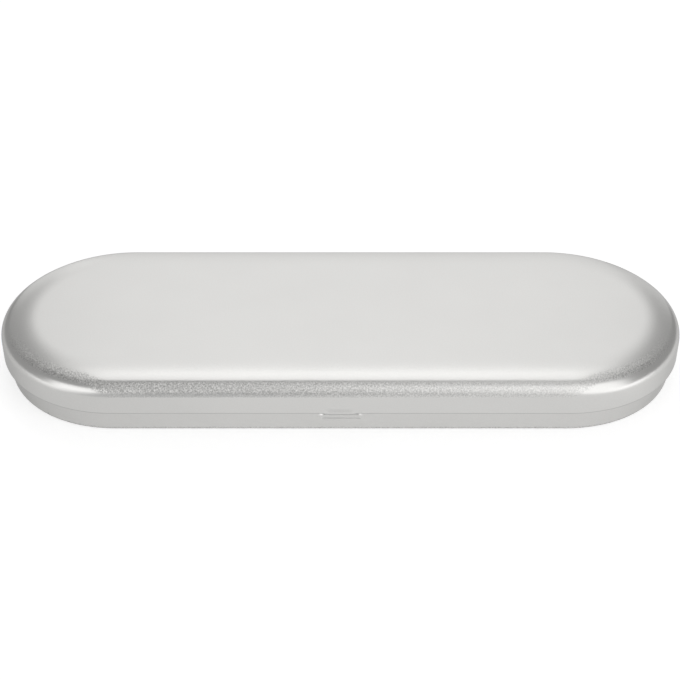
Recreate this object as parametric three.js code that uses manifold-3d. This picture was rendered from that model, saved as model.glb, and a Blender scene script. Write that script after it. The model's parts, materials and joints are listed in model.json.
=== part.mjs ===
// Slim hinged case of satin sheet metal for eyelash tweezers: a slip-over lid and a tray, both with round
// ends, joined by two riveted wire hinges, with a magnet sheet, a slotted foam insert and a foam lid pad.
// Millimetres, +Z up. X runs along the case, -Y is the thumb notch's side and +Y the hinges' side.
// The origin is the middle of the flat underside. The lid is closed.

import * as THREE from "three";
import { mergeVertices } from "three/addons/utils/BufferGeometryUtils.js";
import Module from "manifold-3d";

const wasm = await Module();
wasm.setup();

// Closed case
const CASE_LENGTH = 170;
const CASE_WIDTH = 61.2;
const SEAM_HEIGHT = 6.4; // lower edge of the lid's skirt
const LID_DEPTH = 8.9; // from that edge to the flat top

// Shells
const SHEET = 0.35;
const LID_FIT_GAP = 0.45; // lid skirt to tray wall
const CORNER_RADIUS = 3.4; // round corner above the skirt
const CROWN_RADIUS = 30.5; // soft slope from that corner to the flat top
const CROWN_ANGLE = THREE.MathUtils.degToRad(13); // slope where the crown meets the corner
const WALL_DRAFT = 0.7; // how far the tray's wall leans in from the seam to its bottom corner
const BOTTOM_RADIUS = 1.5;
const CURL_RADIUS = 0.7; // rolled rim of the tray
const RIM_SEAT_GAP = 0.3; // lid shoulder to rolled rim

// Thumb notch in the tray's front wall, and the lid's lip above it
const NOTCH_WIDTH = 12;
const NOTCH_DEPTH = 0.6;
const NOTCH_HEIGHT = 2.8;
const NOTCH_DROP = 0.2; // middle of the notch, below the seam
const LIP_WIDTH = 9;
const LIP_REACH = 0.35;
const LIP_HEIGHT = 2;
const THUMB_EASE = 2; // sideways run from the wall to the notch's full depth or the lip's full reach
const NOTCH_EASE = 0.9; // the same run up or down

// Hinges
const HINGE_LENGTH = 24;
const HINGE_END_MARGIN = 4.6; // from a hinge to where the rear wall starts to curve
const LEAF_SHEET = 0.4;
const LEAF_GAP = 0.1; // leaf to the wall that carries it
const LEAF_MARGIN = 0.35; // leaf edge to where the wall starts to curve
const PIN_RADIUS = 0.55;
const PIN_CLEARANCE = 0.1;
const PIN_HEAD_LAP = 0.2; // pin head past the knuckle's bore
const PIN_HEAD_THICKNESS = 0.4;
const KNUCKLES = 3; // the tray's leaf has the outer ones
const KNUCKLE_PLAY = 0.25; // along the pin
const KNUCKLE_GAP = 0.4; // round the barrel
const RIVET_END_MARGIN = 5; // rivet to the end of its leaf
const RIVET_SHANK_RADIUS = 0.5;
const RIVET_CLEARANCE = 0.1;
const RIVET_HEAD_LAP = 0.6; // head past its hole
const RIVET_HEAD_HEIGHT = 0.5;
const RIVET_TAIL_LAP = 0.35;
const RIVET_TAIL_HEIGHT = 0.3;
const RIVET_SEAT_GAP = 0.05;

// Lining
const GLUE_GAP = 0.1;
const SOFT_GAP = 0.3; // lining to metal beside it
const MAGNET_THICKNESS = 0.8;
const FOAM_THICKNESS = 4.8;
const SLOT_WIDTH = 8;
const SLOT_END_MARGIN = 13.5;
const SLOT_SIDE_MARGIN = 5; // least foam left beside the slots
const RIB_WIDTH = 4; // between two slots
const PAD_THICKNESS = 2;
const PAD_MARGIN = 0.8; // pad edge to the end of the lid's flat

// Fineness of the round parts
const END_STEPS = 20; // along each half-round end
const CORNER_STEPS = 4;
const CROWN_STEPS = 3;
const CURL_STEPS = 8;
const THUMB_STEPS = 12; // along the thumb notch
const NOTCH_STEPS = 6; // up the thumb notch
const ROUND_SIDES = 16;
const ARC_SEGMENTS = ROUND_SIDES / 2; // a drawn arc takes two steps for each

// Sizes that follow
const halfWidth = CASE_WIDTH / 2;
const straightHalf = (CASE_LENGTH - CASE_WIDTH) / 2;
const caseHeight = SEAM_HEIGHT + LID_DEPTH;
const trayInset = SHEET + LID_FIT_GAP;
const cornerTop = caseHeight - CROWN_RADIUS * (1 - Math.cos(CROWN_ANGLE));
const skirtTop = cornerTop - CORNER_RADIUS * Math.cos(CROWN_ANGLE);
const flatInset = CORNER_RADIUS + (CROWN_RADIUS - CORNER_RADIUS) * Math.sin(CROWN_ANGLE);
const notchMiddle = SEAM_HEIGHT - NOTCH_DROP;
const wallSlope = WALL_DRAFT / (SEAM_HEIGHT - BOTTOM_RADIUS);

// The rolled rim nests in the lid's corner, as near to the corner's middle as leaves the seat gap.
const curlInset = trayInset + CURL_RADIUS;
const curlReach = CORNER_RADIUS - SHEET - RIM_SEAT_GAP - CURL_RADIUS;
const curlHeight = skirtTop + Math.sqrt(Math.max(0, curlReach ** 2 - (curlInset - CORNER_RADIUS) ** 2));
const rimHeight = curlHeight + CURL_RADIUS;

// How far the tray's outer wall lies inside the case's outline at a height.
const wallInset = (z) => trayInset + wallSlope * Math.max(0, SEAM_HEIGHT - z);

// Evenly spaced values across a span, with its ends.
function spread(middle, span, steps) {
  return Array.from({ length: steps + 1 }, (_, i) => middle + span * (i / steps - 0.5));
}

const thumbStations = spread(0, NOTCH_WIDTH, THUMB_STEPS);

// 1 along the middle of a span, easing to 0 at both its ends.
function plateau(distance, span, ease) {
  const inside = THREE.MathUtils.clamp((span / 2 - Math.abs(distance)) / ease, 0, 1);
  return Math.sin((Math.PI / 2) * inside) ** 2;
}

// The case's outline, drawn in by an inset, as one ring of points seen anticlockwise from above.
function ring(inset, z) {
  const radius = halfWidth - inset;
  const points = [-straightHalf, ...thumbStations, straightHalf].map((x) => new THREE.Vector3(x, -radius, z));
  for (let i = 1; i <= END_STEPS; i++) {
    const turn = Math.PI * (i / END_STEPS - 0.5);
    points.push(new THREE.Vector3(straightHalf + radius * Math.cos(turn), radius * Math.sin(turn), z));
  }
  points.push(new THREE.Vector3(-straightHalf, radius, z));
  for (let i = 1; i < END_STEPS; i++) {
    const turn = Math.PI * (i / END_STEPS + 0.5);
    points.push(new THREE.Vector3(-straightHalf + radius * Math.cos(turn), radius * Math.sin(turn), z));
  }
  return points;
}

// A closed solid through a list of [inset, z] rings. The first ring is closed by a face that looks down
// and the last by one that looks up, so a shell's list runs over its rim from one side to the other.
function loft(profile, frontShift = () => 0) {
  const rings = profile.map(([inset, z]) => ring(inset, z));
  for (const p of rings.flat()) if (p.y < 0) p.y += frontShift(p.x, p.z);
  const count = rings[0].length;
  const last = (rings.length - 1) * count;
  const middles = [profile[0], profile.at(-1)].map(([, z]) => new THREE.Vector3(0, 0, z));
  const firstMiddle = rings.length * count;
  const lastMiddle = firstMiddle + 1;
  const faces = [];
  for (let i = 0; i < count; i++) {
    const next = (i + 1) % count;
    faces.push(firstMiddle, next, i);
    for (let at = 0; at < last; at += count) {
      faces.push(at + i, at + next, at + count + next, at + i, at + count + next, at + count + i);
    }
    faces.push(lastMiddle, last + i, last + next);
  }
  return new THREE.BufferGeometry().setFromPoints([...rings.flat(), ...middles]).setIndex(faces);
}

// Points [inset, z] of an arc about a centre. Angle 0 points to the middle of the case and 90 degrees up.
function arc([inset, z], radius, from, to, steps) {
  return Array.from({ length: steps + 1 }, (_, i) => {
    const turn = from + ((to - from) * i) / steps;
    return [inset + radius * Math.cos(turn), z + radius * Math.sin(turn)];
  });
}

// The lid's shoulder from the skirt to the flat, as deep inside the outer face as the depth says.
function shoulder(depth) {
  const slope = Math.PI / 2 + CROWN_ANGLE;
  const corner = arc([CORNER_RADIUS, skirtTop], CORNER_RADIUS - depth, Math.PI, slope, CORNER_STEPS);
  const crownMiddle = [flatInset, caseHeight - CROWN_RADIUS];
  const crown = arc(crownMiddle, CROWN_RADIUS - depth, slope, Math.PI / 2, CROWN_STEPS);
  return [...corner, ...crown.slice(1)];
}

// Solids for joining and cutting
function solid(geometry) {
  const bare = geometry.clone();
  bare.deleteAttribute("normal");
  bare.deleteAttribute("uv");
  const merged = mergeVertices(bare);
  const vertProperties = new Float32Array(merged.attributes.position.array);
  const triVerts = new Uint32Array(merged.index.array);
  return new wasm.Manifold(new wasm.Mesh({ numProp: 3, vertProperties, triVerts }));
}

function geometryOf(manifold) {
  const { vertProperties, triVerts } = manifold.getMesh();
  const geometry = new THREE.BufferGeometry();
  geometry.setAttribute("position", new THREE.BufferAttribute(vertProperties, 3));
  return geometry.setIndex(new THREE.BufferAttribute(triVerts, 1));
}

function cut(geometry, cutters) {
  return geometryOf(cutters.reduce((left, cutter) => left.subtract(solid(cutter)), solid(geometry)));
}

function join(geometries) {
  return geometryOf(geometries.map(solid).reduce((all, next) => all.add(next)));
}

// A box between two corners.
function box(low, high) {
  const size = high.map((value, i) => value - low[i]);
  return new THREE.BoxGeometry(...size).translate(...low.map((value, i) => value + size[i] / 2));
}

// A prism of a shape drawn in the case's cross-section (Y across, Z up), centred on a place along X.
function prismAlongX(shape, length, x) {
  const axes = new THREE.Matrix4().makeBasis(
    new THREE.Vector3(0, 1, 0),
    new THREE.Vector3(0, 0, 1),
    new THREE.Vector3(1, 0, 0),
  );
  const settings = { depth: length, bevelEnabled: false, curveSegments: ARC_SEGMENTS };
  const geometry = new THREE.ExtrudeGeometry(shape, settings);
  return geometry.applyMatrix4(axes).translate(x - length / 2, 0, 0);
}

const outline = (points) => new THREE.Shape(points.map(([y, z]) => new THREE.Vector2(y, z)));

// Hinge places
const hingeMiddles = [-1, 1].map((side) => side * (straightHalf - HINGE_END_MARGIN - HINGE_LENGTH / 2));
const boreRadius = PIN_RADIUS + PIN_CLEARANCE;
const knuckleRadius = boreRadius + LEAF_SHEET;
const knuckleLength = (HINGE_LENGTH - (KNUCKLES - 1) * KNUCKLE_PLAY) / KNUCKLES;
const knuckleStep = knuckleLength + KNUCKLE_PLAY;
const axisZ = SEAM_HEIGHT;
const barrelReach = knuckleRadius + KNUCKLE_GAP;
const trayLeafTop = axisZ - barrelReach;
const trayLeafBottom = BOTTOM_RADIUS + LEAF_MARGIN;
const lidLeafBottom = axisZ + barrelReach;
const lidLeafTop = skirtTop - LEAF_MARGIN;
const trayLeafFace = (z) => halfWidth - wallInset(z) + LEAF_GAP; // the leaf's face towards the wall
const lidLeafFace = halfWidth - SHEET - LEAF_GAP - LEAF_SHEET; // the leaf's face towards the inside
const barrelFace = trayLeafFace(trayLeafTop);
const axisY = barrelFace + knuckleRadius;
const openingHalf = HINGE_LENGTH / 2 + KNUCKLE_PLAY + PIN_HEAD_THICKNESS + KNUCKLE_GAP;

// Rivet places: a rivet's origin is under its head, and its head faces +Y before it is tilted
const rivetGrip = SHEET + LEAF_GAP + LEAF_SHEET + 2 * RIVET_SEAT_GAP;
const trayTilt = -Math.atan(wallSlope);
const trayRivetZ = (trayLeafTop + trayLeafBottom) / 2;
const lidRivetZ = (lidLeafTop + lidLeafBottom) / 2;
const rivetHoleRadius = RIVET_SHANK_RADIUS + RIVET_CLEARANCE;
const leafStations = (middle) => [-1, 1].map((side) => middle + side * (HINGE_LENGTH / 2 - RIVET_END_MARGIN));
const rivetStations = hingeMiddles.flatMap(leafStations);

function trayRivetPlace(x) {
  const outward = new THREE.Vector3(0, Math.cos(trayTilt), Math.sin(trayTilt));
  const face = new THREE.Vector3(x, trayLeafFace(trayRivetZ) + LEAF_SHEET, trayRivetZ);
  return face.addScaledVector(outward, RIVET_SEAT_GAP);
}

const lidRivetPlace = (x) => new THREE.Vector3(x, halfWidth + RIVET_SEAT_GAP, lidRivetZ);

// Cutters for the rivet holes of one hinge leaf, or of the wall behind it.
function rivetHoles(stations, place, tilt) {
  const length = 2 * (rivetGrip + RIVET_TAIL_HEIGHT);
  return stations.map((x) => {
    const hole = new THREE.CylinderGeometry(rivetHoleRadius, rivetHoleRadius, length, ROUND_SIDES);
    return hole.rotateX(tilt).translate(...place(x).toArray());
  });
}

// Cutters that let the two hinge barrels through a wall, from one height to another.
function hingeOpenings(low, high) {
  const inside = halfWidth - curlInset - CURL_RADIUS - KNUCKLE_GAP;
  const outside = halfWidth + KNUCKLE_GAP;
  return hingeMiddles.map((x) => box([x - openingHalf, inside, low], [x + openingHalf, outside, high]));
}

// Lid shell: the skirt carries a lip over the thumb notch
function lidShell() {
  const lipLevels = [0, LIP_HEIGHT / 2, LIP_HEIGHT].map((up) => SEAM_HEIGHT + up);
  const skirt = (depth) => lipLevels.map((z) => [depth, z]);
  const inside = [...skirt(SHEET), ...shoulder(SHEET)].reverse();
  const outside = [...skirt(0), ...shoulder(0)];
  const lipAt = (z) => plateau(z - SEAM_HEIGHT, 2 * LIP_HEIGHT, LIP_HEIGHT);
  const lip = (x, z) => -LIP_REACH * plateau(x, LIP_WIDTH, THUMB_EASE) * lipAt(z);
  return cut(loft([...inside, ...outside], lip), [
    ...hingeOpenings(SEAM_HEIGHT - KNUCKLE_GAP, lidLeafBottom),
    ...rivetHoles(rivetStations, lidRivetPlace, 0),
  ]);
}

// Tray: a drafted wall with the thumb notch, and a straight neck with a rolled rim inside the lid
function trayShell() {
  const notchLevels = spread(notchMiddle, NOTCH_HEIGHT, NOTCH_STEPS);
  const levels = [SEAM_HEIGHT, ...notchLevels].sort((a, b) => a - b);
  const wall = (depth) => levels.map((z) => [wallInset(z) + depth, z]);
  const bottomMiddle = [trayInset + WALL_DRAFT + BOTTOM_RADIUS, BOTTOM_RADIUS];
  const bottom = (depth) => arc(bottomMiddle, BOTTOM_RADIUS - depth, -Math.PI / 2, -Math.PI, CORNER_STEPS);
  const curlEnd = -Math.PI + Math.acos((CURL_RADIUS - SHEET) / CURL_RADIUS);
  const curl = arc([curlInset, curlHeight], CURL_RADIUS, Math.PI, curlEnd, CURL_STEPS);
  const inside = [...bottom(SHEET), ...wall(SHEET)].reverse();
  const notchAt = (z) => plateau(z - notchMiddle, NOTCH_HEIGHT, NOTCH_EASE);
  const notch = (x, z) => NOTCH_DEPTH * plateau(x, NOTCH_WIDTH, THUMB_EASE) * notchAt(z);
  return cut(loft([...bottom(0), ...wall(0), ...curl, ...inside], notch), [
    ...hingeOpenings(trayLeafTop, rimHeight + KNUCKLE_GAP),
    ...rivetHoles(rivetStations, trayRivetPlace, trayTilt),
  ]);
}

// One knuckle: a ring round the pin, with a tongue to the edge of its leaf's plate.
function knuckle(x, plateFace, plateEdge) {
  const rim = new THREE.Shape().absarc(axisY, axisZ, knuckleRadius, 0, 2 * Math.PI, false);
  rim.holes.push(new THREE.Path().absarc(axisY, axisZ, boreRadius, 0, 2 * Math.PI, true));
  const bore = new THREE.Shape().absarc(axisY, axisZ, boreRadius, 0, 2 * Math.PI, false);
  const tongue = outline([
    [barrelFace, axisZ],
    [barrelFace + LEAF_SHEET, axisZ],
    [plateFace + LEAF_SHEET, plateEdge],
    [plateFace, plateEdge],
  ]);
  const cutter = prismAlongX(bore, knuckleLength + KNUCKLE_PLAY, x);
  return join([prismAlongX(rim, knuckleLength, x), cut(prismAlongX(tongue, knuckleLength, x), [cutter])]);
}

// A hinge leaf: its plate, and every second knuckle along the barrel from the first one named.
function leaf(middle, plate, plateFace, plateEdge, firstKnuckle, place, tilt) {
  const pieces = [prismAlongX(outline(plate), HINGE_LENGTH, middle)];
  for (let i = firstKnuckle; i < KNUCKLES; i += 2) {
    const x = middle + (i - (KNUCKLES - 1) / 2) * knuckleStep;
    pieces.push(knuckle(x, plateFace, plateEdge));
  }
  return cut(join(pieces), rivetHoles(leafStations(middle), place, tilt));
}

// The tray's leaf lies outside its wall and leans with it.
function trayLeaf(middle) {
  const plate = [
    [trayLeafFace(trayLeafTop), trayLeafTop],
    [trayLeafFace(trayLeafBottom), trayLeafBottom],
    [trayLeafFace(trayLeafBottom) + LEAF_SHEET, trayLeafBottom],
    [trayLeafFace(trayLeafTop) + LEAF_SHEET, trayLeafTop],
  ];
  return leaf(middle, plate, trayLeafFace(trayLeafTop), trayLeafTop, 0, trayRivetPlace, trayTilt);
}

// The lid's leaf lies inside its skirt.
function lidLeaf(middle) {
  const plate = [
    [lidLeafFace, lidLeafBottom],
    [lidLeafFace + LEAF_SHEET, lidLeafBottom],
    [lidLeafFace + LEAF_SHEET, lidLeafTop],
    [lidLeafFace, lidLeafTop],
  ];
  return leaf(middle, plate, lidLeafFace, lidLeafBottom, 1, lidRivetPlace, 0);
}

// Wire pin with both ends upset, turned about its own length.
function hingePin() {
  const headRadius = boreRadius + PIN_HEAD_LAP;
  const neck = HINGE_LENGTH / 2 + KNUCKLE_PLAY;
  const end = neck + PIN_HEAD_THICKNESS;
  const profile = [
    [0, -end],
    [headRadius, -end],
    [headRadius, -neck],
    [PIN_RADIUS, -neck],
    [PIN_RADIUS, neck],
    [headRadius, neck],
    [headRadius, end],
    [0, end],
  ];
  return new THREE.LatheGeometry(profile.map(([r, along]) => new THREE.Vector2(r, along)), ROUND_SIDES);
}

// Rivet with a domed head outside and a flat upset tail inside.
function rivet() {
  const headRadius = rivetHoleRadius + RIVET_HEAD_LAP;
  const tailRadius = rivetHoleRadius + RIVET_TAIL_LAP;
  const dome = arc([0, 0], 1, 0, Math.PI / 2, CORNER_STEPS).slice(0, -1);
  const profile = [
    [0, -rivetGrip - RIVET_TAIL_HEIGHT],
    [tailRadius, -rivetGrip - RIVET_TAIL_HEIGHT],
    [tailRadius, -rivetGrip],
    [RIVET_SHANK_RADIUS, -rivetGrip],
    [RIVET_SHANK_RADIUS, 0],
    ...dome.map(([across, up]) => [headRadius * across, RIVET_HEAD_HEIGHT * up]),
    [0, RIVET_HEAD_HEIGHT],
  ];
  return new THREE.LatheGeometry(profile.map(([r, along]) => new THREE.Vector2(r, along)), ROUND_SIDES);
}

// Lining, from the tray's floor up to the lid's ceiling
const magnetBottom = SHEET + GLUE_GAP;
const foamBottom = magnetBottom + MAGNET_THICKNESS + GLUE_GAP;
const foamTop = foamBottom + FOAM_THICKNESS;
const foamInset = trayInset + SHEET + SOFT_GAP + Math.max(WALL_DRAFT + RIVET_TAIL_HEIGHT, NOTCH_DEPTH);
const padTop = caseHeight - SHEET - GLUE_GAP;

function slab(inset, low, high) {
  return loft([
    [inset, low],
    [inset, high],
  ]);
}

const magnetSheet = () => {
  const inset = trayInset + WALL_DRAFT + BOTTOM_RADIUS + SOFT_GAP;
  return slab(inset, magnetBottom, magnetBottom + MAGNET_THICKNESS);
};

// Foam with as many long slots as its width takes, cut right through to the magnet sheet.
function foamInsert() {
  const slotHalf = CASE_LENGTH / 2 - foamInset - SLOT_END_MARGIN - SLOT_WIDTH / 2;
  const slotStep = SLOT_WIDTH + RIB_WIDTH;
  const slotSteps = Math.floor((2 * (halfWidth - foamInset - SLOT_SIDE_MARGIN) - SLOT_WIDTH) / slotStep);
  const slot = new THREE.Shape();
  slot.absarc(slotHalf, 0, SLOT_WIDTH / 2, -Math.PI / 2, Math.PI / 2, false);
  slot.absarc(-slotHalf, 0, SLOT_WIDTH / 2, Math.PI / 2, (3 * Math.PI) / 2, false);
  const depth = FOAM_THICKNESS + 2 * GLUE_GAP;
  const settings = { depth, bevelEnabled: false, curveSegments: ARC_SEGMENTS / 2 };
  const cutters = spread(0, slotSteps * slotStep, slotSteps).map((y) => {
    return new THREE.ExtrudeGeometry(slot, settings).translate(0, y, foamBottom - GLUE_GAP);
  });
  return cut(slab(foamInset, foamBottom, foamTop), cutters);
}

const lidPad = () => slab(flatInset + PAD_MARGIN, padTop - PAD_THICKNESS, padTop);

// Finishes
const satinMetal = new THREE.MeshStandardMaterial({ color: 0xd9d9d7, roughness: 0.4, metalness: 1 });
const hingeSteel = new THREE.MeshStandardMaterial({ color: 0xc6c6c4, roughness: 0.35, metalness: 1 });
const blackFoam = new THREE.MeshStandardMaterial({ color: 0x1c1c1e, roughness: 0.95, metalness: 0 });
const magnetRubber = new THREE.MeshStandardMaterial({ color: 0x3a3633, roughness: 0.7, metalness: 0 });

function piece(name, geometry, material) {
  const mesh = new THREE.Mesh(geometry, material);
  mesh.name = name;
  return mesh;
}

// Assembly
const tray = new THREE.Group();
const lid = new THREE.Group();
tray.add(piece("base_tray", trayShell(), satinMetal));
tray.add(piece("magnet_sheet", magnetSheet(), magnetRubber));
tray.add(piece("foam_insert", foamInsert(), blackFoam));
lid.add(piece("lid_shell", lidShell(), satinMetal));
lid.add(piece("lid_pad", lidPad(), blackFoam));

hingeMiddles.forEach((x, i) => {
  const side = ["left", "right"][i];
  const pin = piece(side + "_hinge_pin", hingePin(), hingeSteel);
  pin.position.set(x, axisY, axisZ);
  pin.rotation.z = Math.PI / 2;
  tray.add(piece(side + "_base_leaf", trayLeaf(x), hingeSteel), pin);
  lid.add(piece(side + "_lid_leaf", lidLeaf(x), hingeSteel));
});

rivetStations.forEach((x, i) => {
  const trayRivet = piece("base_rivet_" + (i + 1), rivet(), hingeSteel);
  trayRivet.position.copy(trayRivetPlace(x));
  trayRivet.rotation.x = trayTilt;
  tray.add(trayRivet);
  const lidRivet = piece("lid_rivet_" + (i + 1), rivet(), hingeSteel);
  lidRivet.position.copy(lidRivetPlace(x));
  lid.add(lidRivet);
});

const tweezerCase = new THREE.Group();
tweezerCase.add(tray, lid);

export default tweezerCase;
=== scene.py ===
"""Tweezer case: pressed satin metal shells, riveted wire hinges and a slotted foam lining, on a pale floor.

Metres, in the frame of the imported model: X runs along the case, -Y points to the thumb notch, +Y to the
hinges and +Z up. The lid is closed. Main sizes that the frame doesn't give are those that the part's source
is built from. Fine ones, such as soft edges, the leaves' round corners and the shallow flat round the thumb
notch, are given here only.
"""

import json
import math

import bmesh
import bpy
import numpy as np
from bpy.props import FloatProperty, FloatVectorProperty, IntProperty, PointerProperty
from bpy.types import NodeSocket, Operator, Panel, PropertyGroup
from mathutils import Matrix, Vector


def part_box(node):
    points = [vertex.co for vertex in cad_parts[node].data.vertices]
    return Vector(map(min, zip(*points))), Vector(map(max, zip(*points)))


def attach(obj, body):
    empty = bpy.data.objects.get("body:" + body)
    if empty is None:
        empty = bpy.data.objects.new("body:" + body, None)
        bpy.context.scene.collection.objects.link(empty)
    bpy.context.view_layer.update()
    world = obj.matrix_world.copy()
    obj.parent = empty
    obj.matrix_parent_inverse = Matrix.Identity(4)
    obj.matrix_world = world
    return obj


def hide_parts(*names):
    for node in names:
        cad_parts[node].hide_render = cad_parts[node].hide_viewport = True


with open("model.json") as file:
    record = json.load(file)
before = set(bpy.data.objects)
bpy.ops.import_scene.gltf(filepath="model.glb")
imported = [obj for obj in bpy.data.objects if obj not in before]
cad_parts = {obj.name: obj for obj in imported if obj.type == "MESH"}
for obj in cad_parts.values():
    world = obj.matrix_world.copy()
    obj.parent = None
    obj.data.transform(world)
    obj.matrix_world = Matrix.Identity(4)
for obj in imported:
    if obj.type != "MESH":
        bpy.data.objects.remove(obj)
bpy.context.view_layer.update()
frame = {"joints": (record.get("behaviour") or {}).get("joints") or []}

bl_info = {
    "name": "Tweezer case",
    "version": (1, 0, 0),
    "blender": (4, 5, 0),
    "location": "3D View > Sidebar > Tweezer case",
    "description": "Builds a hinged metal tweezer case with its lining, and a studio to show it in",
    "category": "Add Mesh",
}

MM = 0.001

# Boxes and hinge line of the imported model
LID_LOW, LID_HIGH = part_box("lid_shell")
TRAY_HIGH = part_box("base_tray")[1]
TRAY_LEAF_LOW, TRAY_LEAF_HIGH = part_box("right_base_leaf")
LID_LEAF_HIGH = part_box("right_lid_leaf")[1]
PIN_LOW, PIN_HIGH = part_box("right_hinge_pin")
RIVET_LOW, RIVET_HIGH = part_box("lid_rivet_3")
FOAM_LOW, FOAM_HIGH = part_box("foam_insert")
PAD_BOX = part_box("lid_pad")
MAGNET_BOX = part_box("magnet_sheet")
LID_HINGE = next(joint for joint in frame["joints"] if joint["name"] == "lid_hinge")
HINGE_Y, HINGE_Z = LID_HINGE["pos_m"][1:]

# Fineness of the meshes
SIDE_STEPS = 28
THUMB_STEPS = 60
END_STEPS = 84
CROWN_STEPS = 20
CORNER_STEPS = 24
SKIRT_STEPS = 18
WALL_STEPS = 48
RIM_STEPS = 8
CURL_STEPS = 28
ROUND_STEPS = 32
SLOT_END_STEPS = 20
EDGE_STEPS = 6
LEAF_CORNER_STEPS = 4
BEVEL_STEPS = 2
BEVEL_ANGLE = math.radians(50)
SUPPORT_SHARE = 0.03
STOP_DIGITS = 9
MERGE_DISTANCE = 1e-7
CREASE_ANGLE = math.radians(38)

# Knuckles of a hinge: two on the tray's leaf, and one between them on the lid's
KNUCKLES = 3

# A direction that no turned piece's axis has
TURN_GUIDE = (0.6, 0, 0.8)

# Spread of most of a noise, and of a mark
NOISE_SPREAD = (0.3, 0.7)
MARK_SPREAD = (0, 1)

# The camera's sensor in millimetres, and the nearest distance that it sees
SENSOR_WIDTH = 36
NEAREST = 0.01

# How far the lid's open grain shows in the colour as painted glints and painted shade, from left to right:
# place along the case and share
GLINT_GRAIN_SHARES = ((-40 * MM, 1), (54 * MM, 0.36), (68 * MM, 0.85))

# How far the painted shade line below that grain shows, in the same way
SHADE_LINE_SHARES = ((-66 * MM, 0), (-58 * MM, 0.6), (-30 * MM, 0.6), (19 * MM, 0))

# Softboxes: name, azimuth from behind the case, elevation, half width, half height and brightness.
# The four angles are in degrees.
SOFTBOXES = (
    ("rear_panel", 1, 30, 20, 29, 0.8),
    ("rear_strip", 0, 61.5, 19, 6, 1.35),
    ("left_rear_box", -24, 9, 6, 13, 0.8),
    ("right_rear_box", 29, 9, 7, 13, 0.62),
    ("right_box", 147, 21, 26, 38, 1.2),
    ("left_box", -140, 13, 22, 20, 1.22),
    ("top_box", 140, 76, 26, 18, 0.5),
)


def length(name, description, default):
    """A length that a user can change."""
    return FloatProperty(name=name, description=description, default=default, unit="LENGTH", precision=5)


def angle(name, description, degrees):
    """An angle that a user can change."""
    return FloatProperty(name=name, description=description, default=math.radians(degrees), subtype="ANGLE")


def place(name, description, default):
    """A point that a user can change."""
    return FloatVectorProperty(
        name=name, description=description, default=default, subtype="XYZ", unit="LENGTH"
    )


def colour(name, description, default):
    """A colour that a user can change."""
    return FloatVectorProperty(
        name=name, description=description, default=default, subtype="COLOR", min=0, max=1
    )


def strength(name, description, default):
    """A brightness, or a share of one, that a user can change."""
    return FloatProperty(name=name, description=description, default=default, min=0)


class ShellSizes(PropertyGroup):
    """Sizes of the lid and the tray."""

    half_length: length("Half length", "From the middle to the tip of a round end", LID_HIGH.x)
    half_width: length("Half width", "From the middle to the long side", LID_HIGH.y)
    height: length("Height", "From the table to the lid's flat top", LID_HIGH.z)
    seam_height: length("Seam height", "Lower edge of the lid's skirt", LID_LOW.z)
    sheet: length("Sheet", "Thickness of the metal", 0.35 * MM)
    corner_radius: length("Corner radius", "Round corner above the skirt", 3.4 * MM)
    crown_radius: length("Crown radius", "Soft slope between that corner and the flat top", 30.5 * MM)
    crown_angle: angle("Crown angle", "Slope where the crown meets the corner", 13)
    grain_ease: length("Grain ease", "Height over which the corner's open grain begins", 0.35 * MM)
    crown_grain: length("Crown grain", "How far that grain goes up the crown of the round ends", 0.5 * MM)
    grain_end: length("Grain end", "Where that grain ends, in front of the case's middle", 8 * MM)
    grain_run: length("Grain run", "Length over which it fades out there", 16 * MM)
    rub_height: length("Rub height", "Part of the corner that is rubbed smooth at the round ends", 2.6 * MM)
    rub_run: length("Rub run", "Length over which that part begins", 6 * MM)
    # The next three sizes place a dark line of painted shade along the lower edge of the drawn corner.
    line_rise: length("Line rise", "Middle of the die's dark line, above the skirt", 0.7 * MM)
    line_height: length("Line height", "Height of that line", 1.5 * MM)
    line_ease: length("Line ease", "Height of the fade at its edges", 0.5 * MM)
    # The bare edge is darker, and that darkness also paints the shade of the seam below the skirt.
    cut_edge: length("Cut edge", "Height of the bare edge round the lid's skirt", 0.3 * MM)
    tray_inset: length("Tray inset", "From the lid's face in to the tray's neck", LID_HIGH.y - TRAY_HIGH.y)
    wall_draft: length("Wall draft", "How far the tray's wall leans in below the seam", 0.7 * MM)
    bottom_radius: length("Bottom radius", "Corner between the tray's wall and floor", 1.5 * MM)
    curl_radius: length("Curl radius", "Rolled rim of the tray", 0.7 * MM)
    notch_width: length("Notch width", "Width of the thumb notch in the tray's wall", 12 * MM)
    notch_depth: length("Notch depth", "How far the thumb notch is pressed in", 0.6 * MM)
    notch_height: length("Notch height", "Height of the thumb notch", 2.8 * MM)
    notch_drop: length("Notch drop", "Middle of the notch, below the seam", 0.2 * MM)
    notch_ease: length("Notch ease", "Height of the slope at the notch's upper and lower edge", 0.9 * MM)
    flat_depth: length("Flat depth", "How far a shallow flat round the notch is pressed in", 0.28 * MM)
    flat_height: length("Flat height", "Height of that flat", 4.7 * MM)
    flat_ease: length("Flat ease", "Height of the slope at that flat's upper and lower edge", 0.5 * MM)
    lip_width: length("Lip width", "Width of the lid's lip over the notch", 9 * MM)
    lip_reach: length("Lip reach", "How far the lip stands out", -LID_LOW.y - LID_HIGH.y)
    lip_height: length("Lip height", "Height of the lip", 2 * MM)
    thumb_ease: length("Thumb ease", "Width of the slope at the sides of the notch and the lip", 2 * MM)


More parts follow.
